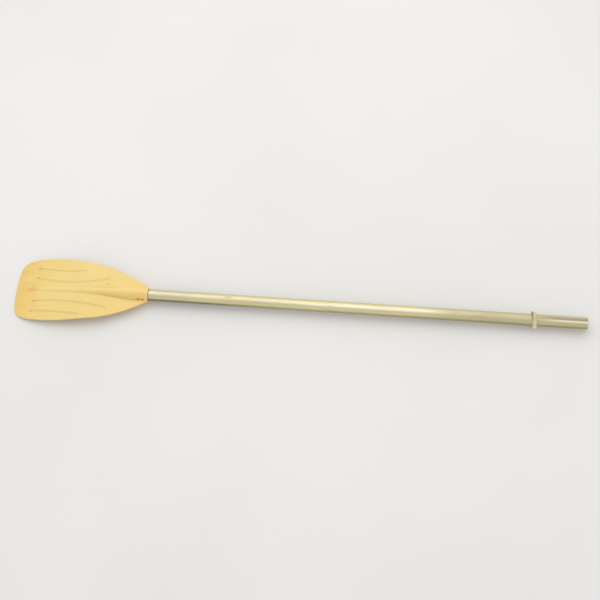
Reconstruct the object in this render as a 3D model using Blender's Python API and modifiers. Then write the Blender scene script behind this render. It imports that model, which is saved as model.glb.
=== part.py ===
"""Light rowing oar: a plain aluminium tube with a moulded plastic spoon blade riveted to one end.

The oar lies flat, as it rests on a floor. Its shaft runs along X with the handle end at the origin
and facing +X. The blade points to -X with its crowned, fluted face up (+Z) and curves down to its tip.
"""
import math

import bmesh
import bpy
import numpy as np
from mathutils import Matrix, Vector

MM = 0.001
GAP = 0.3 * MM

# Driving dimensions of the oar
OAR_LENGTH = 1500.0 * MM
BLADE_LENGTH = 364.8 * MM
TUBE_RADIUS = 15.0 * MM
TUBE_WALL = 1.5 * MM
TUBE_INSERT = 52.0 * MM
THROAT_X = BLADE_LENGTH - OAR_LENGTH
TUBE_BORE = TUBE_RADIUS - TUBE_WALL

# Blade, in millimetres: distance from the throat towards the tip, then distance out from the centreline
SIDE_POINTS = ((0.0, 18.2), (29.5, 36.0), (74.0, 56.8), (123.0, 73.6), (182.0, 83.3), (246.0, 89.4),
               (295.0, 88.4), (331.0, 83.6))
CORNER_MIDDLE = (350.8, 74.3)
CORNER_END = (360.2, 58.2)
BLADE_THICKNESS = 3.6
BLADE_CROWN = 3.4
CROWN_GROWTH = 3
FILLET = 3.5

# Side view of the blade's middle surface: distance from the throat, height over the shaft's axis
MIDDLE = ((0.0, -1.5), (59.0, -0.9), (118.0, 1.9), (167.0, 3.3), (236.0, -2.5), (295.0, -9.8),
          (BLADE_LENGTH / MM, -21.5))

# Spine over the socket: distance from the throat, half-width, height over the shaft's axis
SPINE_TOP = ((0.0, 17.8, 17.8), (8.0, 18.2, 18.2), (13.0, 17.6, 17.6), (56.0, 17.5, 17.5),
             (101.0, 12.9, 12.2), (163.0, 9.5, 8.6), (237.0, 7.0, 0.9), (271.0, 5.8, -3.8),
             (299.0, 4.7, -8.5))
SPINE_BELOW = ((0.0, 17.8, -17.8), (8.0, 18.2, -18.2), (13.0, 17.6, -17.6), (56.0, 17.5, -17.5),
               (83.0, 14.4, -13.2), (114.0, 10.3, -6.6), (145.0, 7.2, 0.3))
SOCKET_END = 56.0
SPINE_BLEND = 46.0

# Flutes beside the spine: distance from the throat, distance from the centreline
INNER_FLUTE = ((105.0, 43.0), (138.0, 36.2), (172.0, 31.2), (242.0, 27.4), (316.0, 33.5))
OUTER_FLUTE = ((173.0, 63.5), (241.0, 59.4), (315.0, 62.5))

# How far all four flutes bow to one side: distance from the throat, distance to +Y
FLUTE_BOW = ((105.0, 0.0), (147.0, -2.3), (190.0, -3.2), (232.0, -2.2), (272.0, 0.0), (316.0, 1.8))
FLUTE_HALF_WIDTH = 6.5
FLUTE_HEIGHT = 2.4
FLUTE_FADE = 9.0
FLUTE_BELOW = 0.8

# Rivets through the socket wall and the tube
RIVET_PLACES = (13.0 * MM, 24.0 * MM)
RIVET_ANGLE = math.radians(75.0)
RIVET_SHANK = 1.6 * MM
RIVET_HEAD = 3.2 * MM
RIVET_DOME = 1.0 * MM
RIVET_SEAT = 16.9 * MM
RIVET_BULB = 2.5 * MM
RIVET_BULB_TOP = 13.0 * MM
RIVET_BULB_END = 10.0 * MM
MANDREL_RADIUS = 0.8 * MM
MANDREL_HEAD = 1.7 * MM
MANDREL_LENGTH = 1.6 * MM
SPOT_FACE = RIVET_HEAD + 0.5 * MM

# Pieces inside and on the tube
BUNG_START = 1108.0 * MM
BUNG_LENGTH = 30.0 * MM
PLUG_LENGTH = 26.0 * MM
PLUG_WALL = 2.2 * MM
PLUG_FACE = 3.0 * MM
PLUG_BARB = 1.0 * MM
PLUG_BARBS = 3
RING_X = -134.0 * MM
RING_RADIUS = 21.75 * MM
RING_WIDTH = 10.0 * MM
RING_ROUND = 3.0 * MM

ROUND_STEPS = 48
SMALL_STEPS = 24
ARC_STEPS = 5
BLADE_ROWS = 40
CORE_COLUMNS = 7
PLATE_COLUMNS = 17
NARROWEST_CORE = 9.0
TIP_FOLLOW = 4
CURVE_STEPS = 12
SHARP_ANGLE = math.radians(40.0)
PAST_MOUTH = 5.0 * MM


def remove_all():
    """Empties the file, so that the script can run again."""
    for thing in list(bpy.data.objects):
        bpy.data.objects.remove(thing)


def collection(name):
    """A new collection in the scene."""
    made = bpy.data.collections.new(name)
    bpy.context.scene.collection.children.link(made)
    return made


def material(name, colour, roughness, metallic=0.0):
    """A plain Principled BSDF material."""
    made = bpy.data.materials.new(name)
    made.use_nodes = True
    shader = made.node_tree.nodes["Principled BSDF"]
    shader.inputs["Base Color"].default_value = (*colour, 1.0)
    shader.inputs["Roughness"].default_value = roughness
    shader.inputs["Metallic"].default_value = metallic
    return made


def add_object(name, mesh, group, finish=None):
    """A named object for a mesh, in a collection."""
    made = bpy.data.objects.new(name, mesh)
    group.objects.link(made)
    if finish:
        mesh.materials.append(finish)
    return made


def shade_round(thing):
    """Smooth shading with the edges of flat ends kept sharp."""
    thing.data.shade_smooth()
    thing.data.set_sharp_from_angle(angle=SHARP_ANGLE)


def turned(name, profile, steps, group, finish=None, closed=False):
    """A turned piece: (radius, height) points, down the outer side, spun about Z with a Screw modifier."""
    mesh = bpy.data.meshes.new(name)
    count = len(profile)
    edges = [(i, i + 1) for i in range(count - 1)]
    if closed:
        edges.append((count - 1, 0))
    mesh.from_pydata([(radius, 0.0, height) for radius, height in profile], edges, [])
    thing = add_object(name, mesh, group, finish)
    spin = thing.modifiers.new("Spin", "SCREW")
    spin.axis = "Z"
    spin.steps = steps
    spin.render_steps = steps
    spin.use_merge_vertices = True
    spin.merge_threshold = 0.00001
    spin.use_smooth_shade = True
    return thing


def along_shaft(x):
    """Turns a piece made along Z to lie along +X, with its own zero at x."""
    return Matrix.Translation((x, 0.0, 0.0)) @ Matrix.Rotation(math.radians(90.0), 4, "Y")


def out_of_socket(place):
    """Turns a piece made along Z to point out of the tube, through a rivet's hole."""
    lean = Matrix.Rotation(RIVET_ANGLE, 4, "X")
    return Matrix.Translation((THROAT_X - place, 0.0, 0.0)) @ lean


def cutter(name, profile, steps, group, place):
    """A turned cutting shape, which the build leaves out."""
    thing = turned(name, profile, steps, group)
    thing.matrix_world = place
    thing.hide_render = True
    thing.display_type = "WIRE"
    return thing


def cut(thing, tool):
    """Takes one shape out of another."""
    step = thing.modifiers.new("Cut " + tool.name, "BOOLEAN")
    step.operation = "DIFFERENCE"
    step.object = tool


def rod(radius, low, high):
    """Profile of a plain rod, for turned()."""
    return [(0.0, high), (radius, high), (radius, low), (0.0, low)]


def curve_through(points):
    """Sampled centripetal Catmull-Rom curve through the points, ending square to the centreline."""
    known = [Vector(point) for point in points]
    before = 2.0 * known[0] - known[1]
    after = 2.0 * known[-1] - known[-2]
    if known[-1].y == 0.0:
        after = Vector((known[-2].x, -known[-2].y))
    chain = [before, *known, after]
    samples = []
    for p0, p1, p2, p3 in zip(chain, chain[1:], chain[2:], chain[3:]):
        t1 = math.sqrt((p1 - p0).length)
        t2 = t1 + math.sqrt((p2 - p1).length)
        t3 = t2 + math.sqrt((p3 - p2).length)
        for t in np.linspace(t1, t2, CURVE_STEPS, endpoint=False):
            a1 = p0.lerp(p1, t / t1)
            a2 = p1.lerp(p2, (t - t1) / (t2 - t1))
            a3 = p2.lerp(p3, (t - t2) / (t3 - t2))
            b1 = a1.lerp(a2, t / t2)
            b2 = a2.lerp(a3, (t - t1) / (t3 - t1))
            samples.append(b1.lerp(b2, (t - t1) / (t2 - t1)))
    samples.append(known[-1])
    return np.array([point.x for point in samples]), np.array([point.y for point in samples])


def value_along(stations, column, s):
    """Smooth value of one column of a station table at distance s from the throat."""
    places, values = curve_through([(row[0], row[column]) for row in stations])
    return np.interp(s, places, values)


def smooth_max(a, b, reach):
    """The larger of two heights, with a fillet where they cross."""
    near = np.maximum(reach - np.abs(a - b), 0.0) / reach
    return np.maximum(a, b) + near * near * reach / 4.0


def middle_height(s):
    """Height of the blade's middle surface on the centreline."""
    places, heights = curve_through(MIDDLE)
    return np.interp(s, places, heights)


def dome(stations, s, t):
    """Height of the rounded spine: round about the shaft's axis over the socket, then about the blade."""
    blend = np.clip((s - SOCKET_END) / SPINE_BLEND, 0.0, 1.0)
    base = middle_height(s) * blend * blend * (3.0 - 2.0 * blend)
    half = value_along(stations, 1, s)
    peak = value_along(stations, 2, s)
    round_part = base + (peak - base) * np.sqrt(np.clip(1.0 - (t / half) ** 2, 0.0, None))
    return np.where(s > stations[-1][0], middle_height(s), round_part)


def flute(path, s, t):
    """Height of one pair of raised flutes, left and right of the spine."""
    places, offsets = curve_through(path)
    centre = np.interp(s, places, offsets)
    bow = np.interp(s, *curve_through(FLUTE_BOW))
    across = np.clip(np.abs(np.abs(t - bow) - centre) / FLUTE_HALF_WIDTH, 0.0, 1.0)
    ends = np.clip(np.minimum(s - path[0][0], path[-1][0] - s) / FLUTE_FADE, 0.0, 1.0)
    return FLUTE_HEIGHT * np.sqrt(ends) * np.cos(0.5 * math.pi * across) ** 2


def blade_grid():
    """Places of the blade's grid points: distance from the throat, distance from the centreline."""
    side_s, side_t = curve_through((*SIDE_POINTS, CORNER_MIDDLE, CORNER_END, (BLADE_LENGTH / MM, 0.0)))
    split = int(np.argmin(np.hypot(side_s - CORNER_MIDDLE[0], side_t - CORNER_MIDDLE[1])))
    tip_t = side_t[split:][::-1]
    tip_s = side_s[split:][::-1]
    along = np.linspace(0.0, 1.0, BLADE_ROWS + 1)
    core = np.sin(np.linspace(0.0, 0.5 * math.pi, CORE_COLUMNS + 1))
    plate = np.linspace(0.0, 1.0, PLATE_COLUMNS + 1)[1:]
    rows = []
    for a in along:
        row_s = a * CORNER_MIDDLE[0]
        width = float(np.interp(row_s, side_s[:split + 1], side_t[:split + 1]))
        core_edge = max(float(value_along(SPINE_TOP, 1, row_s)), NARROWEST_CORE) / width
        half = np.concatenate([core * core_edge, core_edge + plate * (1.0 - core_edge)])
        across = np.concatenate([-half[:0:-1], half])
        reach = np.interp(np.abs(across) * CORNER_MIDDLE[1], tip_t, tip_s) - CORNER_MIDDLE[0]
        rows.append(np.stack([row_s + a ** TIP_FOLLOW * reach, across * width], axis=1))
    return np.array(rows)


def blade_heights(s, t):
    """Upper and lower surface heights of the blade."""
    share = s * MM / BLADE_LENGTH
    middle = middle_height(s) - BLADE_CROWN * share ** CROWN_GROWTH * (t / SIDE_POINTS[5][1]) ** 2
    flutes = flute(INNER_FLUTE, s, t) + flute(OUTER_FLUTE, s, t)
    half = 0.5 * BLADE_THICKNESS
    upper = smooth_max(middle + half + flutes, dome(SPINE_TOP, s, t), FILLET)
    lower = -smooth_max(half - middle - FLUTE_BELOW * flutes, -dome(SPINE_BELOW, s, t), FILLET)
    return upper, lower


def build_blade(group, cutters, finish):
    """The moulded blade: a loft from the round socket to the flat fluted plate, with the socket bored."""
    grid = blade_grid()
    s, t = grid[:, :, 0], grid[:, :, 1]
    upper, lower = blade_heights(s, t)
    rows, columns = s.shape
    work = bmesh.new()
    bmesh.ops.create_grid(work, x_segments=rows - 1, y_segments=columns - 1, size=0.5)
    raised = bmesh.ops.extrude_face_region(work, geom=list(work.faces))
    above = {element for element in raised["geom"] if isinstance(element, bmesh.types.BMVert)}
    for vert in work.verts:
        i = round((vert.co.x + 0.5) * (rows - 1))
        j = round((vert.co.y + 0.5) * (columns - 1))
        height = upper[i, j] if vert in above else lower[i, j]
        vert.co = (THROAT_X - s[i, j] * MM, t[i, j] * MM, height * MM)
    bmesh.ops.recalc_face_normals(work, faces=work.faces)
    mesh = bpy.data.meshes.new("blade")
    work.to_mesh(mesh)
    work.free()
    blade = add_object("blade", mesh, group, finish)
    shade_round(blade)
    bore = TUBE_RADIUS + GAP
    depth = TUBE_INSERT + 2.0 * GAP
    cut(blade, cutter("socket_cutter", rod(bore, -depth, PAST_MOUTH), ROUND_STEPS, cutters,
                      along_shaft(THROAT_X)))
    for number, place in enumerate(RIVET_PLACES, 1):
        hole = [(0.0, 1.5 * RIVET_SEAT), (SPOT_FACE, 1.5 * RIVET_SEAT), (SPOT_FACE, RIVET_SEAT - GAP),
                (RIVET_SHANK + GAP, RIVET_SEAT - GAP), (RIVET_SHANK + GAP, TUBE_BORE), (0.0, TUBE_BORE)]
        cut(blade, cutter(f"blade_rivet_cutter_{number}", hole, SMALL_STEPS, cutters, out_of_socket(place)))
    return blade


def build_tube(group, cutters, finish):
    """The one-piece drawn tube, with its two rivet holes."""
    low = THROAT_X - TUBE_INSERT
    edge = 0.3 * MM
    profile = [(TUBE_BORE, 0.0), (TUBE_RADIUS - edge, 0.0), (TUBE_RADIUS, -edge), (TUBE_RADIUS, low + edge),
               (TUBE_RADIUS - edge, low), (TUBE_BORE, low)]
    tube = turned("shaft_tube", profile, ROUND_STEPS, group, finish, closed=True)
    tube.matrix_world = along_shaft(0.0)
    for number, place in enumerate(RIVET_PLACES, 1):
        hole = rod(RIVET_SHANK + GAP, 0.5 * TUBE_RADIUS, 1.2 * TUBE_RADIUS)
        cut(tube, cutter(f"tube_rivet_cutter_{number}", hole, SMALL_STEPS, cutters, out_of_socket(place)))
    return tube


def build_rivet(number, place, group, body_finish, mandrel_finish):
    """One set blind rivet: its hollow body with the pulled bulb, and the snapped mandrel inside."""
    bore = MANDREL_RADIUS + GAP
    rise = [(RIVET_HEAD * math.cos(angle), RIVET_SEAT + RIVET_DOME * math.sin(angle))
            for angle in np.linspace(math.radians(68.0), 0.0, ARC_STEPS)]
    profile = [(bore, rise[0][1])] + rise
    profile += [(RIVET_SHANK, RIVET_SEAT), (RIVET_SHANK, RIVET_BULB_TOP),
                (RIVET_BULB, RIVET_BULB_TOP - 0.6 * MM), (RIVET_BULB, RIVET_BULB_END + 0.8 * MM),
                (RIVET_SHANK, RIVET_BULB_END), (bore, RIVET_BULB_END)]
    body = turned(f"rivet_body_{number}", profile, SMALL_STEPS, group, body_finish, closed=True)
    body.matrix_world = out_of_socket(place)
    head_top = RIVET_BULB_END - GAP
    stem_top = RIVET_SEAT + 0.5 * RIVET_DOME
    profile = [(0.0, stem_top), (MANDREL_RADIUS, stem_top), (MANDREL_RADIUS, head_top),
               (MANDREL_HEAD, head_top), (MANDREL_HEAD, head_top - 0.5 * MANDREL_LENGTH),
               (0.0, head_top - MANDREL_LENGTH)]
    mandrel = turned(f"rivet_mandrel_{number}", profile, SMALL_STEPS, group, mandrel_finish)
    mandrel.matrix_world = out_of_socket(place)


def build_bung(group, finish):
    """The foam bung that keeps water out of the tube above the rivets."""
    radius = TUBE_BORE - GAP
    edge = 1.0 * MM
    half = 0.5 * BUNG_LENGTH
    profile = [(0.0, half), (radius - edge, half), (radius, half - edge), (radius, edge - half),
               (radius - edge, -half), (0.0, -half)]
    bung = turned("blade_end_bung", profile, ROUND_STEPS, group, finish)
    bung.matrix_world = along_shaft(-BUNG_START - half)


def build_plug(group, finish):
    """The cup-shaped plug in the handle end, with barbs that grip the bore, its face flush with the tube."""
    radius = TUBE_BORE - GAP
    edge = 0.5 * MM
    pitch = (PLUG_LENGTH - PLUG_FACE) / PLUG_BARBS
    profile = [(0.0, 0.0), (radius - edge, 0.0), (radius, -edge), (radius, -PLUG_FACE)]
    for barb in range(PLUG_BARBS):
        top = -PLUG_FACE - barb * pitch
        profile += [(radius - PLUG_BARB, top - 0.15 * pitch), (radius - PLUG_BARB, top - 0.5 * pitch),
                    (radius, top - 0.65 * pitch), (radius - 0.3 * PLUG_BARB, top - pitch)]
    inside = radius - PLUG_BARB - PLUG_WALL
    profile += [(inside, -PLUG_LENGTH), (inside, -PLUG_FACE), (0.0, -PLUG_FACE)]
    plug = turned("handle_end_plug", profile, ROUND_STEPS, group, finish)
    plug.matrix_world = along_shaft(0.0)


def build_ring(group, finish):
    """The rubber stop ring, free to be pushed along the tube. Its origin is on the tube's axis."""
    inner = TUBE_RADIUS + GAP
    half = 0.5 * RING_WIDTH
    edge = 0.5 * MM
    centre = RING_RADIUS - RING_ROUND
    upper = [(centre + RING_ROUND * math.sin(angle), half - RING_ROUND + RING_ROUND * math.cos(angle))
             for angle in np.linspace(0.0, 0.5 * math.pi, ARC_STEPS + 1)]
    lower = [(radius, -height) for radius, height in reversed(upper)]
    profile = [(inner, half - edge), (inner + edge, half)] + upper + lower
    profile += [(inner + edge, -half), (inner, edge - half)]
    ring = turned("stop_ring", profile, ROUND_STEPS, group, finish, closed=True)
    ring.matrix_world = along_shaft(RING_X)


def main():
    remove_all()
    oar = collection("rowing_oar")
    cutters = collection("cutters")
    plastic = material("aged_yellow_plastic", (0.80, 0.62, 0.24), 0.42)
    aluminium = material("gold_anodised_aluminium", (0.56, 0.52, 0.36), 0.30, 1.0)
    rivet_metal = material("rivet_aluminium", (0.60, 0.56, 0.48), 0.45, 1.0)
    steel = material("mandrel_steel", (0.42, 0.38, 0.34), 0.55, 1.0)
    foam = material("closed_cell_foam", (0.85, 0.84, 0.80), 0.90)
    plug_plastic = material("plug_polythene", (0.50, 0.47, 0.38), 0.55)
    rubber = material("aged_rubber", (0.66, 0.57, 0.38), 0.60)
    build_blade(oar, cutters, plastic)
    build_tube(oar, cutters, aluminium)
    for number, place in enumerate(RIVET_PLACES, 1):
        build_rivet(number, place, oar, rivet_metal, steel)
    build_bung(oar, foam)
    build_plug(oar, plug_plastic)
    build_ring(oar, rubber)


main()
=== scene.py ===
"""Looks of the light rowing oar: finished meshes, materials, floor, light and camera.

The tables of the blade are in millimetres. Everything placed in the scene is in metres, in the part's own
frame: shaft along X, handle end at +X, fluted blade face up.
"""

import math

import bmesh
import bpy
import numpy as np
from mathutils import Matrix, Vector, noise


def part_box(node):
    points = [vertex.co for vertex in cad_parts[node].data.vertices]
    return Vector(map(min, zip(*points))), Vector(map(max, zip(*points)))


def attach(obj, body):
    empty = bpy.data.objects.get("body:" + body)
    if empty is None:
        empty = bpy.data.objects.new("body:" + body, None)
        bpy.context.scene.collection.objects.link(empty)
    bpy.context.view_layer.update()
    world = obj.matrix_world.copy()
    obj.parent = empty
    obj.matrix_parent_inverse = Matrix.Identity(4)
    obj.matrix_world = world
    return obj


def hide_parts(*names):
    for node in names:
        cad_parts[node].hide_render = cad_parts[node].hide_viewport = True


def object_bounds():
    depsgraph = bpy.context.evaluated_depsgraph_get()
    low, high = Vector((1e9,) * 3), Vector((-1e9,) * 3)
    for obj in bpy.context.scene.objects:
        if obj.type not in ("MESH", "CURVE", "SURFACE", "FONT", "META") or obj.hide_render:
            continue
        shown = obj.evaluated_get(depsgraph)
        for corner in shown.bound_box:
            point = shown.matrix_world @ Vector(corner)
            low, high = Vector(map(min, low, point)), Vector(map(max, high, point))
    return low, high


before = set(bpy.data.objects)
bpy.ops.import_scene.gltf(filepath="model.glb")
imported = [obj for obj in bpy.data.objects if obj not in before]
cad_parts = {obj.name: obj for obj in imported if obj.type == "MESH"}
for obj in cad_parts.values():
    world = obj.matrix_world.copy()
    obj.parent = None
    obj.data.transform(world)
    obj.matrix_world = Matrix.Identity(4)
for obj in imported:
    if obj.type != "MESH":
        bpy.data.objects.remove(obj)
cad_low, cad_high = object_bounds()

MM = 0.001
GAP = 0.3 * MM

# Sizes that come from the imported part
blade_low, blade_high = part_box("blade")
tube_low, tube_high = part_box("shaft_tube")
ring_low, ring_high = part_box("stop_ring")
bung_low, bung_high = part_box("blade_end_bung")
plug_low, plug_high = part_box("handle_end_plug")
THROAT_X = blade_high.x
BLADE_LENGTH = (blade_high.x - blade_low.x) / MM
TUBE_RADIUS = tube_high.z
TUBE_BORE = plug_high.z + GAP

# The blade's tables, here and below, are the same as the CAD part's. They aren't design dimensions. The
# outline and the side view are rounded results of a curve fit, apart from the outline's corner and the
# height at the throat, and the outline was adjusted afterwards. The places of the spine, the flutes, the
# rivets and the marks were read off and converted through that fit's view, and some of them were changed
# afterwards.

# Blade outline: distance from the throat towards the tip, then distance out from the centreline
SIDE_POINTS = ((0.0, 18.2), (29.5, 36.0), (74.0, 56.8), (123.0, 73.6), (182.0, 83.3), (246.0, 89.4),
               (295.0, 88.4), (331.0, 83.6))
CORNER_MIDDLE = (350.8, 74.3)
CORNER_END = (360.2, 58.2)
WIDEST = max(half_width for _, half_width in SIDE_POINTS)
BLADE_THICKNESS = 3.6
BLADE_CROWN = 3.4
CROWN_GROWTH = 3
FILLET = 3.5
RIM_ROUND = 1.6
RIM_STEPS = (1.5, 0.9, 0.45, 0.15, 0.0)
RIM_FADE = 6.0
RIM_LIMIT = 0.93
WIDEST_CORE = 0.97
WAVE_LENGTH = 55.0
WAVE_WIDTH = 34.0
WAVE_HEIGHT = 0.35

# Side view of the blade's middle surface: distance from the throat, height over the shaft's axis
MIDDLE = ((0.0, -1.5), (59.0, -0.9), (118.0, 1.9), (167.0, 3.3), (236.0, -2.5), (295.0, -9.8),
          (BLADE_LENGTH, -21.5))

# Spine over the socket: distance from the throat, half-width, height over the shaft's axis
SPINE_TOP = ((0.0, 17.8, 17.8), (8.0, 18.2, 18.2), (13.0, 17.6, 17.6), (56.0, 17.5, 17.5),
             (101.0, 12.9, 12.2), (163.0, 9.5, 8.6), (237.0, 7.0, 0.9), (271.0, 5.8, -3.8),
             (299.0, 4.7, -8.5))
SPINE_BELOW = ((0.0, 17.8, -17.8), (8.0, 18.2, -18.2), (13.0, 17.6, -17.6), (56.0, 17.5, -17.5),
               (83.0, 14.4, -13.2), (114.0, 10.3, -6.6), (145.0, 7.2, 0.3))
SOCKET_END = 56.0
SPINE_BLEND = 46.0
SOCKET_DEPTH = THROAT_X - tube_low.x
MOUTH_FLARE = 1.1 * MM
PAST_MOUTH = 5.0 * MM

# Flutes beside the spine: distance from the throat, distance from the centreline
INNER_FLUTE = ((105.0, 43.0), (138.0, 36.2), (172.0, 31.2), (242.0, 27.4), (316.0, 33.5))
OUTER_FLUTE = ((173.0, 63.5), (241.0, 59.4), (315.0, 62.5))

# How far all four flutes bow to one side: distance from the throat, distance to +Y
FLUTE_BOW = ((105.0, 0.0), (147.0, -2.3), (190.0, -3.2), (232.0, -2.2), (272.0, 0.0), (316.0, 1.8))
FLUTE_HALF_WIDTH = 6.5
FLUTE_HEIGHT = 2.4
FLUTE_FADE = 9.0
FLUTE_BELOW = 0.8

# Rivets through the socket wall and the tube
RIVET_PLACES = (13.0 * MM, 24.0 * MM)
RIVET_ANGLE = math.radians(75.0)
RIVET_SHANK = 1.6 * MM
RIVET_HEAD = 3.2 * MM
RIVET_DOME = 1.0 * MM
RIVET_SEAT = 16.9 * MM
RIVET_BORE = 1.1 * MM
RIVET_BULB = 2.5 * MM
RIVET_BULB_TOP = 13.0 * MM
RIVET_BULB_END = 10.0 * MM
BULB_ROUND = 0.7 * MM
SPOT_FACE = RIVET_HEAD + 0.5 * MM
MANDREL_RADIUS = 0.8 * MM
MANDREL_HEAD = 1.7 * MM
MANDREL_HEAD_TOP = 9.7 * MM
MANDREL_ROUND = 0.3 * MM

# Plug, bung, ring and cut edges
CUT_EDGE = 0.5 * MM
PLUG_BARBS = 3
PLUG_BARB = 1.0 * MM
PLUG_FACE = 3.0 * MM
PLUG_WALL = 2.2 * MM
PLUG_EDGE = 0.6 * MM
PLUG_DISH = 0.9 * MM
BUNG_EDGE = 1.4 * MM
BUNG_SAG = 0.25 * MM
RING_ROUND = 3.0 * MM
FLASH_DEPTH = 0.12 * MM
FLASH_HALF_WIDTH = 0.35 * MM

# How far the ring leans along the shaft, for each metre out to +Y
RING_SKEW = -0.13

BLADE_ROWS = 150
CORE_COLUMNS = 14
PLATE_COLUMNS = 40
NARROWEST_CORE = 9.0
TIP_FOLLOW = 4
CURVE_STEPS = 16
ROUND_STEPS = 96
TUBE_RINGS = 160
SMALL_STEPS = 36
SHARP_ANGLE = math.radians(35.0)

# Marks on the blade's upper face, and painted shade spots at the flute ends: distance from the throat,
# distance to +Y, half-length, half-width
STAIN = (321.0, -2.0, 24.0, 9.0)
SMUDGE = (112.0, 23.0, 9.0, 5.0)
# Painted shade: dark spots where the raised flutes end
FLUTE_END_SHADE = ((311.0, 60.0, 7.5, 5.0), (310.0, 33.5, 7.5, 5.0), (310.0, -35.0, 7.5, 5.0),
                  (313.0, -63.5, 7.5, 5.0))

# Marks along the tube, places on the shaft in metres, and stripes of painted reflection and highlight, as
# shares of the tube's radius
TUBE_SPOT = (-0.920, 0.001, 0.020, 0.006)
END_DARK_REFLECTION_STRIPE = (0.10, 0.14, 0.34)
MIDDLE_HIGHLIGHT_STRIPE = (-0.28, 0.04, 0.24)
END_HIGHLIGHT_STRIPE = (-0.30, 0.04, 0.20)

# Camera, light and floor. The camera's azimuth, roll, distance and aim come from the same fit, the last two
# nudged afterwards. Its elevation and lens were chosen.
CAMERA_AZIMUTH = math.radians(17.86)
CAMERA_ELEVATION = math.radians(64.0)
CAMERA_ROLL = math.radians(-12.435)
CAMERA_DISTANCE = 3.630
CAMERA_LENS = 84.0
LOOK_ASIDE = Vector((0.0155, 0.0134, 0.0))
KEY_PLACE = Vector((-0.2, 1.2, 2.3))
KEY_WIDTH = 3.0
KEY_HEIGHT = 2.4
KEY_POWER = 17.0
SKY_BEHIND_CAMERA = 0.9
SKY_BEYOND = 1.0
FLOOR_RADIUS = 30.0


# ---------------------------------------------------------------- small tools

def srgb(red, green, blue):
    """Linear colour of an 8-bit screen colour."""
    shares = [channel / 255.0 for channel in (red, green, blue)]
    linear = [c / 12.92 if c <= 0.04045 else ((c + 0.055) / 1.055) ** 2.4 for c in shares]
    return (*linear, 1.0)


def add_object(name, mesh, finish):
    """A named object for a mesh, with its material."""
    thing = bpy.data.objects.new(name, mesh)
    bpy.context.scene.collection.objects.link(thing)
    mesh.materials.append(finish)
    return thing


def shade_round(mesh):
    """Smooth shading with real corners kept sharp."""
    mesh.shade_smooth()
    mesh.set_sharp_from_angle(angle=SHARP_ANGLE)


def along_shaft(x):
    """Turns a piece made along Z to lie along +X, with its own zero at x."""
    return Matrix.Translation((x, 0.0, 0.0)) @ Matrix.Rotation(math.radians(90.0), 4, "Y")


def out_of_socket(place):
    """Turns a piece made along Z to point out of the tube, through a rivet's hole."""
    return Matrix.Translation((THROAT_X - place, 0.0, 0.0)) @ Matrix.Rotation(RIVET_ANGLE, 4, "X")


def turned(name, profile, steps, place, closed=False):
    """Mesh of a turned piece: (radius, height) points, down the outer side, spun about Z and then placed."""
    work = bmesh.new()
    verts = [work.verts.new((radius, 0.0, height)) for radius, height in profile]
    edges = [work.edges.new(pair) for pair in zip(verts, verts[1:])]
    if closed:
        edges.append(work.edges.new((verts[-1], verts[0])))
    bmesh.ops.spin(work, geom=verts + edges, cent=(0.0, 0.0, 0.0), axis=(0.0, 0.0, 1.0),
                   angle=2.0 * math.pi, steps=steps, use_merge=True)
    bmesh.ops.remove_doubles(work, verts=work.verts, dist=0.01 * MM)
    bmesh.ops.recalc_face_normals(work, faces=work.faces)
    work.transform(place)
    mesh = bpy.data.meshes.new(name)
    work.to_mesh(mesh)
    work.free()
    shade_round(mesh)
    return mesh


def arc(centre_radius, centre_height, radius, start, end, steps):
    """Profile points on an arc, angles in degrees from straight out, positive towards the top."""
    points = []
    for angle in np.radians(np.linspace(start, end, steps + 1)):
        points.append((centre_radius + radius * math.cos(angle), centre_height + radius * math.sin(angle)))
    return points


# ---------------------------------------------------------------- blade shape

def curve_through(points):
    """Sampled centripetal Catmull-Rom curve through the points, square to the centreline if it ends there."""
    known = [Vector(point) for point in points]
    before = 2.0 * known[0] - known[1]
    after = 2.0 * known[-1] - known[-2]
    if known[-1].y == 0.0:
        after = Vector((known[-2].x, -known[-2].y))
    chain = [before, *known, after]
    samples = []
    for p0, p1, p2, p3 in zip(chain, chain[1:], chain[2:], chain[3:]):
        t1 = math.sqrt((p1 - p0).length)
        t2 = t1 + math.sqrt((p2 - p1).length)
        t3 = t2 + math.sqrt((p3 - p2).length)
        for t in np.linspace(t1, t2, CURVE_STEPS, endpoint=False):
            a1 = p0.lerp(p1, t / t1)
            a2 = p1.lerp(p2, (t - t1) / (t2 - t1))
            a3 = p2.lerp(p3, (t - t2) / (t3 - t2))
            b1 = a1.lerp(a2, t / t2)
            b2 = a2.lerp(a3, (t - t1) / (t3 - t1))
            samples.append(b1.lerp(b2, (t - t1) / (t2 - t1)))
    samples.append(known[-1])
    return np.array([point.x for point in samples]), np.array([point.y for point in samples])


def value_along(stations, column, s):
    """Smooth value of one column of a station table at distance s from the throat."""
    places, values = curve_through([(row[0], row[column]) for row in stations])
    return np.interp(s, places, values)


def smooth_max(a, b, reach):
    """The larger of two heights, with a fillet where they cross."""
    near = np.maximum(reach - np.abs(a - b), 0.0) / reach
    return np.maximum(a, b) + near * near * reach / 4.0


def middle_height(s):
    """Height of the blade's middle surface on the centreline."""
    places, heights = curve_through(MIDDLE)
    return np.interp(s, places, heights)


def dome(stations, s, t):
    """Height of the rounded spine: round about the shaft's axis over the socket, then about the blade."""
    blend = np.clip((s - SOCKET_END) / SPINE_BLEND, 0.0, 1.0)
    base = middle_height(s) * blend * blend * (3.0 - 2.0 * blend)
    half = value_along(stations, 1, s)
    peak = value_along(stations, 2, s)
    round_part = base + (peak - base) * np.sqrt(np.clip(1.0 - (t / half) ** 2, 0.0, None))
    return np.where(s > stations[-1][0], middle_height(s), round_part)


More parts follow.
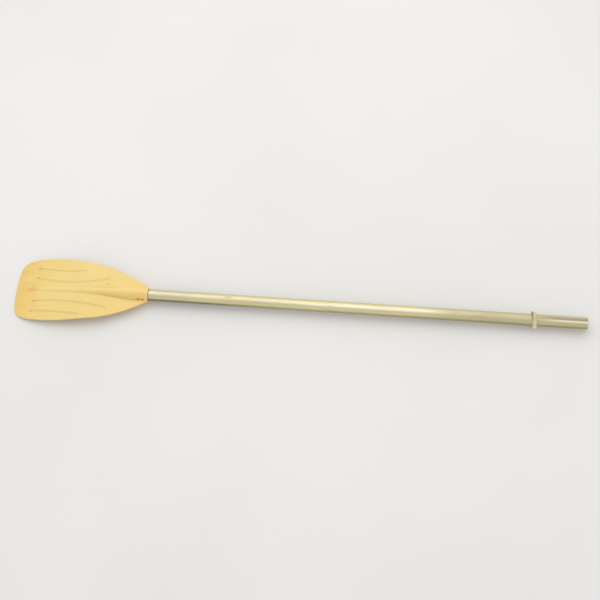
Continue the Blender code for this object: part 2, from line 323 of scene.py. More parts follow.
def flute(path, s, t):
    """Height of one pair of raised flutes, left and right of the spine."""
    places, offsets = curve_through(path)
    centre = np.interp(s, places, offsets)
    bow = np.interp(s, *curve_through(FLUTE_BOW))
    across = np.clip(np.abs(np.abs(t - bow) - centre) / FLUTE_HALF_WIDTH, 0.0, 1.0)
    ends = np.clip(np.minimum(s - path[0][0], path[-1][0] - s) / FLUTE_FADE, 0.0, 1.0)
    return FLUTE_HEIGHT * np.sqrt(ends) * np.cos(0.5 * math.pi * across) ** 2


def outline():
    """The blade's side from throat to corner, and its tip edge from centreline to corner."""
    s, t = curve_through((*SIDE_POINTS, CORNER_MIDDLE, CORNER_END, (BLADE_LENGTH, 0.0)))
    split = int(np.argmin(np.hypot(s - CORNER_MIDDLE[0], t - CORNER_MIDDLE[1])))
    return (s[:split + 1], t[:split + 1]), (t[split:][::-1], s[split:][::-1])


def blade_grid():
    """Places of the blade's grid points, and each one's distance in from the rim."""
    side, tip = outline()
    core = np.sin(np.linspace(0.0, 0.5 * math.pi, CORE_COLUMNS + 1))
    plate = np.linspace(0.0, 1.0, PLATE_COLUMNS + 1)[1:-1]
    rows = []
    inset = []
    last = 1.0 - 2.0 * RIM_STEPS[0] / CORNER_MIDDLE[0]
    main_rows = [(a, None) for a in np.linspace(0.0, last, BLADE_ROWS)]
    for a, short in main_rows + [(1.0, short) for short in RIM_STEPS]:
        row_s = a * CORNER_MIDDLE[0]
        width = float(np.interp(row_s, *side))
        core_edge = min(max(float(value_along(SPINE_TOP, 1, row_s)), NARROWEST_CORE), WIDEST_CORE * width)
        rim = width - np.array(RIM_STEPS) * min(1.0, (width - core_edge) / RIM_FADE)
        half = np.concatenate([core * core_edge, core_edge + plate * (rim[0] - core_edge), rim])
        across = np.concatenate([-half[:0:-1], half])
        tip_edge = np.interp(np.abs(across) / width * CORNER_MIDDLE[1], *tip)
        if short is None:
            along = row_s + a ** TIP_FOLLOW * (tip_edge - CORNER_MIDDLE[0])
        else:
            along = tip_edge - short
        rows.append(np.stack([along, across], axis=1))
        inset.append(np.minimum(width - np.abs(across), tip_edge - along))
    return np.array(rows), np.array(inset)


def unevenness(s, t):
    """Slight waviness of the moulding, in millimetres, from sink marks and warping. The socket has none."""
    wave = np.zeros_like(s)
    for index in np.ndindex(s.shape):
        place = Vector((s[index] / WAVE_LENGTH, t[index] / WAVE_WIDTH, 3.7))
        wave[index] = noise.noise(place) + 0.4 * noise.noise(place * 2.7)
    return WAVE_HEIGHT * wave * np.clip((s - SOCKET_END) / SPINE_BLEND, 0.0, 1.0)


def blade_heights(s, t, inset):
    """Upper and lower surface heights of the blade, rounded off towards its rim."""
    share = s / BLADE_LENGTH
    middle = middle_height(s) - BLADE_CROWN * share ** CROWN_GROWTH * (t / WIDEST) ** 2
    middle = middle + unevenness(s, t)
    flutes = flute(INNER_FLUTE, s, t) + flute(OUTER_FLUTE, s, t)
    into = np.clip(1.0 - inset / RIM_ROUND, 0.0, RIM_LIMIT)
    half = 0.5 * BLADE_THICKNESS * np.sqrt(1.0 - into * into)
    upper = smooth_max(middle + half + flutes, dome(SPINE_TOP, s, t), FILLET)
    lower = -smooth_max(half - middle - FLUTE_BELOW * flutes, -dome(SPINE_BELOW, s, t), FILLET)
    return upper, lower


def cut(thing, name, profile, steps, place):
    """Takes a turned shape out of a piece, for good."""
    tool = bpy.data.objects.new(name, turned(name, profile, steps, place))
    bpy.context.scene.collection.objects.link(tool)
    step = thing.modifiers.new(name, "BOOLEAN")
    step.operation = "DIFFERENCE"
    step.object = tool
    mesh = bpy.data.meshes.new_from_object(thing.evaluated_get(bpy.context.evaluated_depsgraph_get()))
    thing.modifiers.clear()
    old = thing.data
    thing.data = mesh
    bpy.data.meshes.remove(old)
    bpy.data.objects.remove(tool)


def build_blade(finish):
    """The moulded blade: socket, spine, flutes and a rounded rim, with its bore and rivet seats."""
    grid, inset = blade_grid()
    s, t = grid[:, :, 0], grid[:, :, 1]
    upper, lower = blade_heights(s, t, inset)
    rows, columns = s.shape
    work = bmesh.new()
    bmesh.ops.create_grid(work, x_segments=rows - 1, y_segments=columns - 1, size=0.5)
    raised = bmesh.ops.extrude_face_region(work, geom=list(work.faces))
    above = {element for element in raised["geom"] if isinstance(element, bmesh.types.BMVert)}
    for vert in work.verts:
        i = round((vert.co.x + 0.5) * (rows - 1))
        j = round((vert.co.y + 0.5) * (columns - 1))
        height = upper[i, j] if vert in above else lower[i, j]
        vert.co = (THROAT_X - s[i, j] * MM, t[i, j] * MM, height * MM)
    bmesh.ops.recalc_face_normals(work, faces=work.faces)
    mesh = bpy.data.meshes.new("oar_blade")
    work.to_mesh(mesh)
    work.free()
    blade = add_object("oar_blade", mesh, finish)
    bore = TUBE_RADIUS + GAP
    depth = SOCKET_DEPTH + 2.0 * GAP
    flared = bore + MOUTH_FLARE
    socket = [(0.0, PAST_MOUTH), (flared + PAST_MOUTH, PAST_MOUTH), (flared, 0.0),
              (bore, -1.4 * MOUTH_FLARE), (bore, -depth), (0.0, -depth)]
    cut(blade, "socket_cutter", socket, ROUND_STEPS, along_shaft(THROAT_X))
    for number, place in enumerate(RIVET_PLACES, 1):
        hole = [(0.0, 1.5 * RIVET_SEAT), (SPOT_FACE, 1.5 * RIVET_SEAT), (SPOT_FACE, RIVET_SEAT - GAP),
                (RIVET_SHANK + GAP, RIVET_SEAT - GAP), (RIVET_SHANK + GAP, TUBE_BORE), (0.0, TUBE_BORE)]
        cut(blade, f"rivet_cutter_{number}", hole, SMALL_STEPS, out_of_socket(place))
    shade_round(blade.data)
    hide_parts("blade")
    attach(blade, "oar")


# ---------------------------------------------------------------- turned pieces

def build_tube(finish):
    """The drawn tube, with its sawn and lightly rounded ends and its rivet holes."""
    low, high = tube_low.x, tube_high.x
    plain = 4.0 * CUT_EDGE
    profile = [(TUBE_BORE, high - CUT_EDGE), (TUBE_BORE + CUT_EDGE, high)]
    profile += arc(TUBE_RADIUS - CUT_EDGE, high - CUT_EDGE, CUT_EDGE, 90.0, 0.0, 4)
    profile += [(TUBE_RADIUS, x) for x in np.linspace(high - plain, low + plain, TUBE_RINGS)]
    profile += arc(TUBE_RADIUS - CUT_EDGE, low + CUT_EDGE, CUT_EDGE, 0.0, -90.0, 4)
    profile += [(TUBE_BORE + CUT_EDGE, low), (TUBE_BORE, low + CUT_EDGE)]
    mesh = turned("oar_tube", profile, ROUND_STEPS, along_shaft(0.0), closed=True)
    tube = add_object("oar_tube", mesh, finish)
    for number, place in enumerate(RIVET_PLACES, 1):
        reach = RIVET_SHANK + GAP
        hole = [(0.0, 1.2 * TUBE_RADIUS), (reach, 1.2 * TUBE_RADIUS), (reach, 0.5 * TUBE_RADIUS),
                (0.0, 0.5 * TUBE_RADIUS)]
        cut(tube, f"tube_hole_{number}", hole, SMALL_STEPS, out_of_socket(place))
    shade_round(tube.data)
    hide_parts("shaft_tube")
    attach(tube, "oar")


def build_ring(finish):
    """The moulded rubber stop ring, with a fine flash line round its middle. It sits a little askew."""
    middle = 0.5 * (ring_low.x + ring_high.x)
    half = 0.5 * (ring_high.x - ring_low.x)
    radius = ring_high.z
    inner = TUBE_RADIUS + GAP
    outer = arc(radius - RING_ROUND, half - RING_ROUND, RING_ROUND, 90.0, 8.0, 9)
    outer += [(radius - FLASH_DEPTH, FLASH_HALF_WIDTH), (radius, FLASH_DEPTH)]
    profile = [(inner, half - CUT_EDGE), (inner + CUT_EDGE, half), *outer]
    profile += [(r, -h) for r, h in reversed(outer)]
    profile += [(inner + CUT_EDGE, -half), (inner, CUT_EDGE - half)]
    askew = Matrix.Identity(4)
    askew[0][1] = RING_SKEW
    mesh = turned("oar_stop_ring", profile, ROUND_STEPS, along_shaft(middle), closed=True)
    mesh.transform(askew)
    ring = add_object("oar_stop_ring", mesh, finish)
    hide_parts("stop_ring")
    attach(ring, "ring")


def build_plug(finish):
    """The barbed plug in the handle end, with a shallow dished face."""
    length = plug_high.x - plug_low.x
    radius = plug_high.z
    pitch = (length - PLUG_FACE) / PLUG_BARBS
    waist = radius - PLUG_BARB
    inside = waist - PLUG_WALL
    profile = [(0.0, -PLUG_DISH), (0.55 * radius, 0.1 * MM - PLUG_DISH), (0.72 * radius, -0.25 * MM),
               (0.8 * radius, 0.0)]
    profile += arc(radius - PLUG_EDGE, -PLUG_EDGE, PLUG_EDGE, 90.0, 0.0, 4)
    profile.append((radius, -PLUG_FACE))
    for barb in range(PLUG_BARBS):
        top = -PLUG_FACE - barb * pitch
        profile += [(waist, top - 0.15 * pitch), (waist, top - 0.5 * pitch), (radius, top - 0.65 * pitch),
                    (radius - 0.3 * PLUG_BARB, top - pitch)]
    profile += [(inside, -length), (inside, -PLUG_FACE - CUT_EDGE), (inside - CUT_EDGE, -PLUG_FACE),
                (0.0, -PLUG_FACE)]
    mesh = turned("oar_end_plug", profile, ROUND_STEPS, along_shaft(plug_high.x))
    plug = add_object("oar_end_plug", mesh, finish)
    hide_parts("handle_end_plug")
    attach(plug, "oar")


def build_bung(finish):
    """The foam bung in the tube, its cut edges rounded."""
    half = 0.5 * (bung_high.x - bung_low.x)
    radius = bung_high.z
    profile = [(0.0, half), (0.5 * radius, half)]
    profile += arc(radius - BUNG_EDGE, half - BUNG_EDGE, BUNG_EDGE, 90.0, 0.0, 4)
    profile += [(radius - BUNG_SAG, 0.4 * half), (radius, 0.0), (radius - BUNG_SAG, -0.4 * half)]
    profile += arc(radius - BUNG_EDGE, BUNG_EDGE - half, BUNG_EDGE, 0.0, -90.0, 4)
    profile += [(0.5 * radius, -half), (0.0, -half)]
    middle = 0.5 * (bung_low.x + bung_high.x)
    bung = add_object("oar_bung", turned("oar_bung", profile, ROUND_STEPS, along_shaft(middle)), finish)
    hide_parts("blade_end_bung")
    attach(bung, "oar")


def build_rivet(number, place, body_finish, mandrel_finish):
    """One set blind rivet: domed hollow body with its pulled bulb, and the snapped mandrel in it."""
    profile = [(RIVET_BORE, RIVET_SEAT + 0.75 * RIVET_DOME),
               (RIVET_BORE + 0.25 * MM, RIVET_SEAT + 0.95 * RIVET_DOME)]
    for angle in np.radians(np.linspace(62.0, 0.0, 8)):
        profile.append((RIVET_HEAD * math.cos(angle), RIVET_SEAT + RIVET_DOME * math.sin(angle)))
    profile += [(RIVET_SHANK, RIVET_SEAT), (RIVET_SHANK, RIVET_BULB_TOP)]
    belly = RIVET_BULB - BULB_ROUND
    profile += arc(belly, RIVET_BULB_TOP - BULB_ROUND, BULB_ROUND, 70.0, 0.0, 4)
    profile += arc(belly, RIVET_BULB_END + BULB_ROUND + 0.1 * MM, BULB_ROUND, 0.0, -80.0, 4)
    profile.append((RIVET_BORE, RIVET_BULB_END))
    mesh = turned(f"oar_rivet_{number}", profile, SMALL_STEPS, out_of_socket(place), closed=True)
    body = add_object(f"oar_rivet_{number}", mesh, body_finish)
    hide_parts(f"rivet_body_{number}")
    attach(body, "oar")
    top = RIVET_SEAT + 0.5 * RIVET_DOME
    profile = [(0.0, top - 0.25 * MM), (0.35 * MANDREL_RADIUS, top), (0.8 * MANDREL_RADIUS, top - 0.1 * MM),
               (MANDREL_RADIUS, top - 0.3 * MM), (MANDREL_RADIUS, MANDREL_HEAD_TOP)]
    rim = MANDREL_HEAD - MANDREL_ROUND
    profile += arc(rim, MANDREL_HEAD_TOP - MANDREL_ROUND, MANDREL_ROUND, 90.0, 0.0, 3)
    profile += [(MANDREL_HEAD, MANDREL_HEAD_TOP - 0.8 * MM),
                (0.6 * MANDREL_HEAD, MANDREL_HEAD_TOP - 1.5 * MM), (0.0, MANDREL_HEAD_TOP - 1.6 * MM)]
    mesh = turned(f"oar_mandrel_{number}", profile, SMALL_STEPS, out_of_socket(place))
    mandrel = add_object(f"oar_mandrel_{number}", mesh, mandrel_finish)
    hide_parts(f"rivet_mandrel_{number}")
    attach(mandrel, "oar")


# ---------------------------------------------------------------- materials

class Finish:
    """A node material under construction, with short calls for the nodes it needs."""

    def __init__(self, name):
        self.material = bpy.data.materials.new(name)
        self.material.use_nodes = True
        self.tree = self.material.node_tree
        self.shader = self.tree.nodes["Principled BSDF"]
        self.place = self.node("ShaderNodeTexCoord").outputs["Object"]

    def node(self, kind, **settings):
        """A new node with its plain settings."""
        made = self.tree.nodes.new(kind)
        for key, value in settings.items():
            setattr(made, key, value)
        return made

    def feed(self, socket, value):
        """Links or sets one input."""
        if isinstance(value, bpy.types.NodeSocket):
            self.tree.links.new(value, socket)
        else:
            socket.default_value = value

    def maths(self, operation, first, second=0.0, third=0.0, clamp=False):
        """A Math node's value."""
        made = self.node("ShaderNodeMath", operation=operation, use_clamp=clamp)
        for socket, value in zip(made.inputs, (first, second, third)):
            self.feed(socket, value)
        return made.outputs[0]

    def stretched(self, x, y, z):
        """The place on the piece, scaled along each axis."""
        made = self.node("ShaderNodeMapping")
        self.feed(made.inputs["Vector"], self.place)
        made.inputs["Scale"].default_value = (x, y, z)
        return made.outputs[0]

    def speckle(self, vector, scale, detail=3.0, roughness=0.5):
        """Noise, 0 to 1."""
        made = self.node("ShaderNodeTexNoise")
        self.feed(made.inputs["Vector"], vector)
        made.inputs["Scale"].default_value = scale
        made.inputs["Detail"].default_value = detail
        made.inputs["Roughness"].default_value = roughness
        return made.outputs["Fac"]

    def between(self, value, low, high, out_low=0.0, out_high=1.0):
        """A value eased from one range into another."""
        made = self.node("ShaderNodeMapRange", interpolation_type="SMOOTHSTEP")
        settings = (("Value", value), ("From Min", low), ("From Max", high), ("To Min", out_low),
                    ("To Max", out_high))
        for name, setting in settings:
            self.feed(made.inputs[name], setting)
        return made.outputs["Result"]

    def mixed(self, share, first, second):
        """Two colours mixed."""
        made = self.node("ShaderNodeMix", data_type="RGBA")
        self.feed(made.inputs["Factor"], share)
        self.feed(made.inputs[6], first)
        self.feed(made.inputs[7], second)
        return made.outputs[2]

    def ramp(self, value, stops):
        """A colour ramp through (position, colour) stops."""
        made = self.node("ShaderNodeValToRGB")
        elements = made.color_ramp.elements
        while len(elements) < len(stops):
            elements.new(0.5)
        for element, (position, colour) in zip(elements, stops):
            element.position = position
            element.color = colour
        self.feed(made.inputs[0], value)
        return made.outputs[0]

    def axis(self, name):
        """One coordinate of the place on the piece."""
        made = self.node("ShaderNodeSeparateXYZ")
        self.feed(made.inputs[0], self.place)
        return made.outputs[name]

    def spot(self, x, y, along, across):
        """1 in the middle of an oval spot, 0 outside it. Sizes are half-widths, in metres."""
        dx = self.maths("DIVIDE", self.maths("SUBTRACT", self.axis("X"), x), along)
        dy = self.maths("DIVIDE", self.maths("SUBTRACT", self.axis("Y"), y), across)
        square = self.maths("ADD", self.maths("MULTIPLY", dx, dx), self.maths("MULTIPLY", dy, dy))
        return self.maths("SUBTRACT", 1.0, self.maths("SQRT", square), clamp=True)

    def mark(self, distance, to_side, half_length, half_width):
        """An oval spot on the blade, placed in millimetres from the throat and towards +Y."""
        return self.spot(THROAT_X - distance * MM, to_side * MM, half_length * MM, half_width * MM)

    def stripe(self, middle, solid, faded):
        """A stripe along the tube, its middle and half-widths given as shares of the tube's radius."""
        off = self.maths("ABSOLUTE", self.maths("SUBTRACT", self.axis("Y"), middle * TUBE_RADIUS))
        return self.between(off, faded * TUBE_RADIUS, solid * TUBE_RADIUS)

    def washed(self, colour, share, strength, tint):
        """A colour laid over another where a share says, at a strength."""
        return self.mixed(self.maths("MULTIPLY", share, strength), colour, tint)

    def facing(self, name, low, high):
        """0 to 1 as the surface's normal, measured along one axis, goes from low to high."""
        split = self.node("ShaderNodeSeparateXYZ")
        self.feed(split.inputs[0], self.node("ShaderNodeNewGeometry").outputs["Normal"])
        return self.between(split.outputs[name], low, high)

    def crease(self):
        """Cycles' pointiness: above a half on edges, below it in creases."""
        return self.node("ShaderNodeNewGeometry").outputs["Pointiness"]

    def bump(self, *layers):
        """Stacks (height, strength, distance) layers of bump."""
        normal = None
        for height, strength, distance in layers:
            made = self.node("ShaderNodeBump")
            made.inputs["Strength"].default_value = strength
            made.inputs["Distance"].default_value = distance
            self.feed(made.inputs["Height"], height)
            if normal is not None:
                self.feed(made.inputs["Normal"], normal)
            normal = made.outputs["Normal"]
        self.feed(self.shader.inputs["Normal"], normal)

    def finish(self, **inputs):
        """Feeds the shader's inputs, named with underscores for spaces."""
        for key, value in inputs.items():
            self.feed(self.shader.inputs[key.replace("_", " ")], value)
        return self.material


def blade_plastic():
    """Sun-aged yellow plastic, warmer at tip and throat, with stains, scuffs and darker rims; painted shade
    in creases, on -Y slopes and at flute ends; a painted highlight at the throat.
    """
    f = Finish("blade_plastic")
    drift = f.maths("MULTIPLY", f.maths("SUBTRACT", f.speckle(f.place, 22.0), 0.5), 0.07)
    reach = f.maths("SUBTRACT", THROAT_X, f.axis("X"))
    along = f.maths("ADD", f.maths("DIVIDE", reach, BLADE_LENGTH * MM), drift)
    colour = f.ramp(along, ((0.0, srgb(244, 204, 125)), (0.12, srgb(239, 211, 135)),
                            (0.5, srgb(238, 211, 137)), (0.78, srgb(238, 210, 134)),
                            (0.88, srgb(236, 204, 122)), (0.94, srgb(233, 198, 112)),
                            (1.0, srgb(231, 196, 108))))
    blotch = f.between(f.speckle(f.place, 9.0, 4.0), 0.38, 0.66)
    colour = f.washed(colour, blotch, 0.42, srgb(231, 202, 123))
    near_tip = f.between(along, 0.74, 0.95, 0.1, 0.6)
    bruise = f.between(f.speckle(f.place, 38.0, 3.0, 0.6), 0.5, 0.72)
    colour = f.washed(colour, bruise, near_tip, srgb(222, 180, 84))
    bleach = f.between(f.speckle(f.stretched(1.0, 1.6, 1.0), 30.0, 3.0, 0.6), 0.52, 0.7)
    colour = f.washed(colour, bleach, near_tip, srgb(240, 216, 142))
    grain = f.between(f.speckle(f.stretched(1.0, 5.0, 5.0), 90.0, 4.0, 0.6), 0.45, 0.75)
    colour = f.washed(colour, grain, 0.32, srgb(225, 194, 118))
    upper = f.facing("Z", 0.1, 0.5)
    # Painted shade: slopes facing -Y, away from the key light, are painted darker
    painted_lee_shade = f.maths("MULTIPLY", f.facing("Y", -0.09, -0.3), upper)
    colour = f.washed(colour, painted_lee_shade, 0.17, srgb(205, 164, 90))
    colour = f.washed(colour, f.maths("MULTIPLY", f.mark(*STAIN), upper), 0.8, srgb(222, 164, 74))
    colour = f.washed(colour, f.maths("MULTIPLY", f.mark(*SMUDGE), upper), 0.35, srgb(190, 160, 100))
    # Painted shade: darker spots at the ends of the flutes
    for place in FLUTE_END_SHADE:
        flute_end_shade = f.between(f.mark(*place), 0.0, 0.8)
        colour = f.washed(colour, f.maths("MULTIPLY", flute_end_shade, upper), 0.32, srgb(170, 142, 72))
    # Painted highlight: a lighter band on the socket's rounded lip at the throat
    painted_lip_highlight = f.between(reach, 5.5 * MM, 3.0 * MM)
    colour = f.washed(colour, painted_lip_highlight, 0.6, srgb(249, 226, 152))
    # Painted shade: creases, where pointiness is low, are painted darker
    crease = f.between(f.crease(), 0.5, 0.42)
    colour = f.washed(colour, crease, 0.5, srgb(190, 155, 85))
    edge = f.between(f.crease(), 0.55, 0.66)
    colour = f.washed(colour, edge, 0.5, srgb(196, 154, 90))
    scratches = f.speckle(f.stretched(1.0, 26.0, 26.0), 24.0, 2.0, 0.6)
    rough = f.between(grain, 0.0, 1.0, 0.36, 0.5)
    f.bump((f.speckle(f.place, 420.0, 2.0), 0.12, 0.0004), (scratches, 0.10, 0.0004))
    return f.finish(Base_Color=colour, Roughness=rough, Subsurface_Weight=0.06,
                    Subsurface_Radius=(0.9, 0.5, 0.2), Subsurface_Scale=0.003, Specular_IOR_Level=0.42)


def painted_reflection_bands(f):
    """Painted reflection: lighter and darker bands along the tube, set by how far each side faces +Y or -Y.
    """
    wander = f.speckle(f.stretched(1.0, 0.0, 0.0), 4.0, 2.0)
    wander = f.maths("MULTIPLY", f.maths("SUBTRACT", wander, 0.5), 0.12)
    across = f.maths("ADD", f.maths("MULTIPLY_ADD", f.axis("Y"), 0.5 / TUBE_RADIUS, 0.5), wander)
    return f.ramp(across, ((0.0, srgb(200, 190, 136)), (0.1, srgb(222, 212, 154)),
                           (0.22, srgb(214, 204, 162)), (0.34, srgb(226, 218, 188)),
                           (0.45, srgb(202, 194, 162)), (0.55, srgb(192, 184, 146)),
                           (0.66, srgb(222, 214, 160)), (1.0, srgb(204, 194, 148))))


def handle_stripes(f, colour):
    """Lays a painted dark reflection stripe and a painted highlight stripe over the tube's colour near the
    handle end.
    """
    # Painted reflection: a dark stripe near the handle end
    end_dark_reflection = f.maths("MULTIPLY", f.stripe(*END_DARK_REFLECTION_STRIPE), f.between(f.axis("X"), -0.17, -0.08))
    colour = f.washed(colour, end_dark_reflection, 0.7, srgb(138, 130, 104))
    # Painted highlight: a bright stripe near the handle end
    bright = f.maths("MULTIPLY", f.stripe(*END_HIGHLIGHT_STRIPE), f.between(f.axis("X"), -0.12, -0.05))
    return f.washed(colour, bright, 0.7, srgb(250, 247, 230))


def tube_aluminium():
    """Pale gold anodised tube: painted reflection bands and highlight stripes, drawing lines, marks, and
    painted shade below, at the socket's mouth and at the rougher handle end.
    """
    f = Finish("tube_aluminium")
    lines = f.speckle(f.stretched(0.35, 60.0, 60.0), 9.0, 3.0, 0.6)
    mottle = f.speckle(f.stretched(1.0, 4.0, 4.0), 11.0, 4.0, 0.55)
    colour = f.mixed(f.between(mottle, 0.35, 0.68), srgb(229, 218, 178), srgb(214, 204, 160))
    # Painted reflection bands mixed into the anodising's colour
    colour = f.mixed(0.65, colour, painted_reflection_bands(f))
    # Painted highlight: a bright stripe along the middle stretch of the tube
    highlight_reach = f.maths("MULTIPLY", f.between(f.axis("X"), -0.9, -0.62), f.between(f.axis("X"), -0.3, -0.45))
    middle_highlight = f.maths("MULTIPLY", f.stripe(*MIDDLE_HIGHLIGHT_STRIPE), highlight_reach)
    colour = f.washed(colour, middle_highlight, 0.8, srgb(250, 246, 228))
    colour = f.washed(colour, f.between(lines, 0.4, 0.7), 0.45, srgb(218, 209, 176))
    greyed = f.between(f.axis("X"), -0.93, -1.1)
    colour = f.washed(colour, greyed, 0.4, srgb(198, 192, 170))
    # Painted shade towards the handle end: the colour is painted darker, dulling the reflection, and the
    # roughness rises too
    handle_shade_and_roughness = f.between(f.axis("X"), -0.46, -0.28)
    colour = f.washed(colour, handle_shade_and_roughness, 0.6, srgb(194, 185, 150))
    colour = handle_stripes(f, colour)
    # Painted shade: the tube's underside is painted dark olive, most near the blade
    below = f.between(f.axis("Z"), 0.54 * TUBE_RADIUS, 0.2 * TUBE_RADIUS)
    underside_shade_share = f.between(f.axis("X"), -0.75, -1.05, 0.38, 0.85)
    colour = f.washed(colour, below, underside_shade_share, srgb(118, 104, 62))
    # Painted shade: a dark band on the tube where it meets the socket's mouth
    painted_crease_shade = f.between(f.axis("X"), THROAT_X + 2.4 * MM, THROAT_X + 1.2 * MM)
    colour = f.washed(colour, painted_crease_shade, 0.55, srgb(116, 100, 64))
    spot = f.between(f.spot(*TUBE_SPOT), 0.1, 0.8)
    colour = f.washed(colour, spot, 0.55, srgb(176, 160, 88))
    streaks = f.between(f.speckle(f.stretched(0.5, 9.0, 9.0), 38.0, 3.0, 0.6), 0.55, 0.7)
    colour = f.washed(colour, streaks, 0.4, srgb(176, 162, 118))
    marks = f.between(f.speckle(f.stretched(1.0, 3.0, 3.0), 60.0, 3.0, 0.7), 0.64, 0.78)
    colour = f.washed(colour, marks, 0.4, srgb(150, 136, 100))
    rough = f.maths("ADD", f.between(mottle, 0.3, 0.7, 0.26, 0.38), f.maths("MULTIPLY", handle_shade_and_roughness, 0.2))
    f.bump((lines, 0.12, 0.0005), (marks, 0.15, 0.0003))
    return f.finish(Base_Color=colour, Metallic=1.0, Roughness=rough, Anisotropic=0.3, Coat_Weight=0.2,
                    Coat_Roughness=0.3)


def ring_rubber():
    """Aged cream rubber, dusty and specked, with painted shade in its creases and on its side towards the
    blade.
    """
    f = Finish("ring_rubber")
    patches = f.between(f.speckle(f.place, 55.0, 4.0), 0.35, 0.68)
    colour = f.mixed(patches, srgb(232, 218, 186), srgb(208, 190, 144))
    specks = f.between(f.speckle(f.place, 420.0, 2.0), 0.62, 0.74)
    colour = f.washed(colour, specks, 0.5, srgb(150, 132, 98))
    # Painted shade: the ring's creases are painted darker
    painted_crease_shade = f.between(f.crease(), 0.5, 0.4)
    colour = f.washed(colour, painted_crease_shade, 0.6, srgb(140, 122, 88))
    # Painted shade: the ring's side towards the blade is painted darker
    painted_flank_shade = f.between(f.axis("X"), ring_low.x + 0.35 * (ring_high.x - ring_low.x), ring_low.x)
    colour = f.washed(colour, painted_flank_shade, 0.8, srgb(128, 112, 76))
    f.bump((f.speckle(f.place, 600.0, 3.0), 0.25, 0.0004), (f.speckle(f.place, 90.0, 2.0), 0.2, 0.0008))
    rough = f.between(patches, 0.0, 1.0, 0.55, 0.7)
    return f.finish(Base_Color=colour, Roughness=rough, Specular_IOR_Level=0.35)


def plug_plastic():
    """Greyed polythene with scuffs on its face."""
    f = Finish("plug_plastic")
    patches = f.between(f.speckle(f.place, 70.0, 4.0), 0.35, 0.7)
    colour = f.mixed(patches, srgb(196, 188, 164), srgb(172, 162, 134))
    scuffs = f.between(f.speckle(f.stretched(1.0, 1.0, 8.0), 160.0, 3.0, 0.7), 0.58, 0.72)
    colour = f.washed(colour, scuffs, 0.5, srgb(120, 108, 84))
    f.bump((f.speckle(f.place, 700.0, 2.0), 0.2, 0.0003), (scuffs, 0.3, 0.0004))
    return f.finish(Base_Color=colour, Roughness=f.between(scuffs, 0.0, 1.0, 0.45, 0.62))


def bung_foam():
    """Closed-cell foam: small round cells in a pale body."""
    f = Finish("bung_foam")
    cells = f.node("ShaderNodeTexVoronoi")
    f.feed(cells.inputs["Vector"], f.place)
    cells.inputs["Scale"].default_value = 900.0
    pits = f.between(cells.outputs["Distance"], 0.1, 0.6)
    shade = f.speckle(f.place, 60.0, 3.0)
    colour = f.mixed(f.between(shade, 0.3, 0.7), srgb(236, 234, 226), srgb(214, 208, 190))
    colour = f.washed(colour, pits, 0.25, srgb(180, 172, 150))
    f.bump((pits, 0.5, 0.0006))
    return f.finish(Base_Color=colour, Roughness=0.9)


def worn_metal(name, bright, dull, rough_low, rough_high):
    """Bare metal with dull patches and fine scratches."""
    f = Finish(name)
    patches = f.between(f.speckle(f.place, 500.0, 4.0), 0.35, 0.65)
    colour = f.mixed(patches, bright, dull)
    # Painted shade: creases are painted dark brown
    painted_crease_shade = f.between(f.crease(), 0.5, 0.42)
    colour = f.washed(colour, painted_crease_shade, 0.7, srgb(96, 78, 52))
    scratches = f.speckle(f.stretched(6.0, 1.0, 1.0), 900.0, 2.0, 0.6)
    f.bump((scratches, 0.2, 0.0002))
    rough = f.between(patches, 0.0, 1.0, rough_low, rough_high)
    return f.finish(Base_Color=colour, Metallic=1.0, Roughness=rough)


def floor_paper():
    """Plain pale sweep with the faintest unevenness."""
    f = Finish("floor_paper")
    patches = f.speckle(f.place, 1.3, 3.0)
    colour = f.mixed(f.between(patches, 0.3, 0.7), srgb(230, 229, 227), srgb(234, 233, 232))
    f.bump((f.speckle(f.place, 900.0, 2.0), 0.05, 0.0002))
    return f.finish(Base_Color=colour, Roughness=0.8, Specular_IOR_Level=0.2)


# ---------------------------------------------------------------- floor, light, camera

def build_floor():
    """A large round pale floor under the oar."""
    work = bmesh.new()
    bmesh.ops.create_circle(work, cap_ends=True, radius=FLOOR_RADIUS, segments=ROUND_STEPS)
    mesh = bpy.data.meshes.new("studio_floor")
    work.to_mesh(mesh)
    work.free()
    floor = add_object("studio_floor", mesh, floor_paper())
    floor.location = (0.5 * (cad_low.x + cad_high.x), 0.0, cad_low.z)


def build_world():
    """Pale surroundings, brighter overhead and beyond the oar than behind the camera."""
    world = bpy.data.worlds.new("studio")
    world.use_nodes = True
    tree = world.node_tree
    background = tree.nodes["Background"]
    direction = tree.nodes.new("ShaderNodeTexCoord")
    split = tree.nodes.new("ShaderNodeSeparateXYZ")
    tree.links.new(direction.outputs["Generated"], split.inputs[0])
    shade = tree.nodes.new("ShaderNodeMapRange")
    shade.interpolation_type = "SMOOTHSTEP"
    shade.inputs["From Min"].default_value = -0.9
    shade.inputs["From Max"].default_value = 0.5
    shade.inputs["To Min"].default_value = SKY_BEHIND_CAMERA
    shade.inputs["To Max"].default_value = SKY_BEYOND
    tree.links.new(split.outputs["Y"], shade.inputs["Value"])
    tree.links.new(shade.outputs["Result"], background.inputs["Strength"])
    background.inputs["Color"].default_value = srgb(246, 246, 245)
    bpy.context.scene.world = world


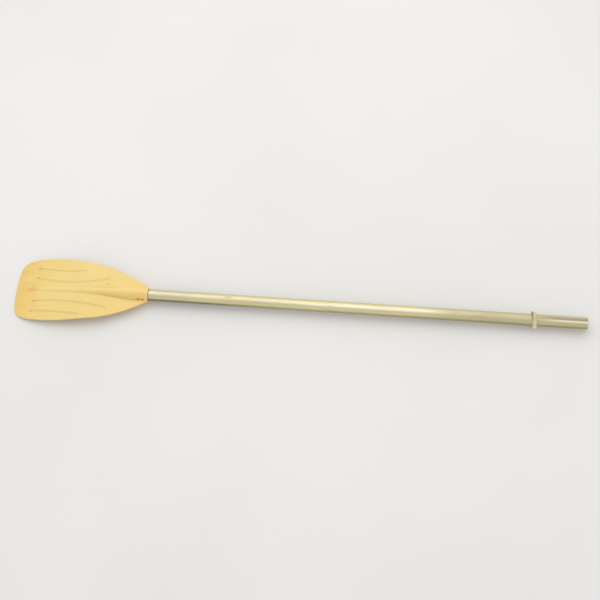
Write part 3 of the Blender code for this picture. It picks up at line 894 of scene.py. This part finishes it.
def area_light(name, place, target, width, height, power, colour):
    """A soft box that faces a point."""
    data = bpy.data.lights.new(name, "AREA")
    data.shape = "RECTANGLE"
    data.size = width
    data.size_y = height
    data.energy = power
    data.color = colour[:3]
    lamp = bpy.data.objects.new(name, data)
    lamp.location = place
    lamp.rotation_euler = (target - Vector(place)).to_track_quat("-Z", "Y").to_euler()
    bpy.context.scene.collection.objects.link(lamp)


def build_light(centre):
    """A broad soft box beyond the oar and overhead."""
    area_light("key_box", centre + KEY_PLACE, centre, KEY_WIDTH, KEY_HEIGHT, KEY_POWER, srgb(255, 252, 246))


def build_camera(centre):
    """The camera, above the oar's near side, with the blade to the left."""
    data = bpy.data.cameras.new("camera")
    data.lens = CAMERA_LENS
    camera = bpy.data.objects.new("camera", data)
    bpy.context.scene.collection.objects.link(camera)
    back = Vector((math.sin(CAMERA_AZIMUTH) * math.cos(CAMERA_ELEVATION),
                   -math.cos(CAMERA_AZIMUTH) * math.cos(CAMERA_ELEVATION), math.sin(CAMERA_ELEVATION)))
    level = Vector((math.cos(CAMERA_AZIMUTH), math.sin(CAMERA_AZIMUTH), 0.0))
    upward = back.cross(level)
    right = level * math.cos(CAMERA_ROLL) + upward * math.sin(CAMERA_ROLL)
    up = back.cross(right)
    turn = Matrix((right, up, back)).transposed().to_4x4()
    camera.matrix_world = Matrix.Translation(centre + LOOK_ASIDE + back * CAMERA_DISTANCE) @ turn
    bpy.context.scene.camera = camera


def main():
    """Builds every piece with its material, then the floor, the light and the camera."""
    build_blade(blade_plastic())
    build_tube(tube_aluminium())
    body_finish = worn_metal("rivet_aluminium", srgb(222, 190, 128), srgb(184, 150, 96), 0.45, 0.65)
    mandrel_finish = worn_metal("mandrel_steel", srgb(160, 126, 82), srgb(124, 92, 56), 0.5, 0.75)
    for number, place in enumerate(RIVET_PLACES, 1):
        build_rivet(number, place, body_finish, mandrel_finish)
    build_bung(bung_foam())
    build_plug(plug_plastic())
    build_ring(ring_rubber())
    build_floor()
    centre = Vector((0.5 * (cad_low.x + cad_high.x), 0.0, 0.0))
    build_world()
    build_light(centre)
    build_camera(centre)
    bpy.context.scene.view_settings.view_transform = "Standard"


main()
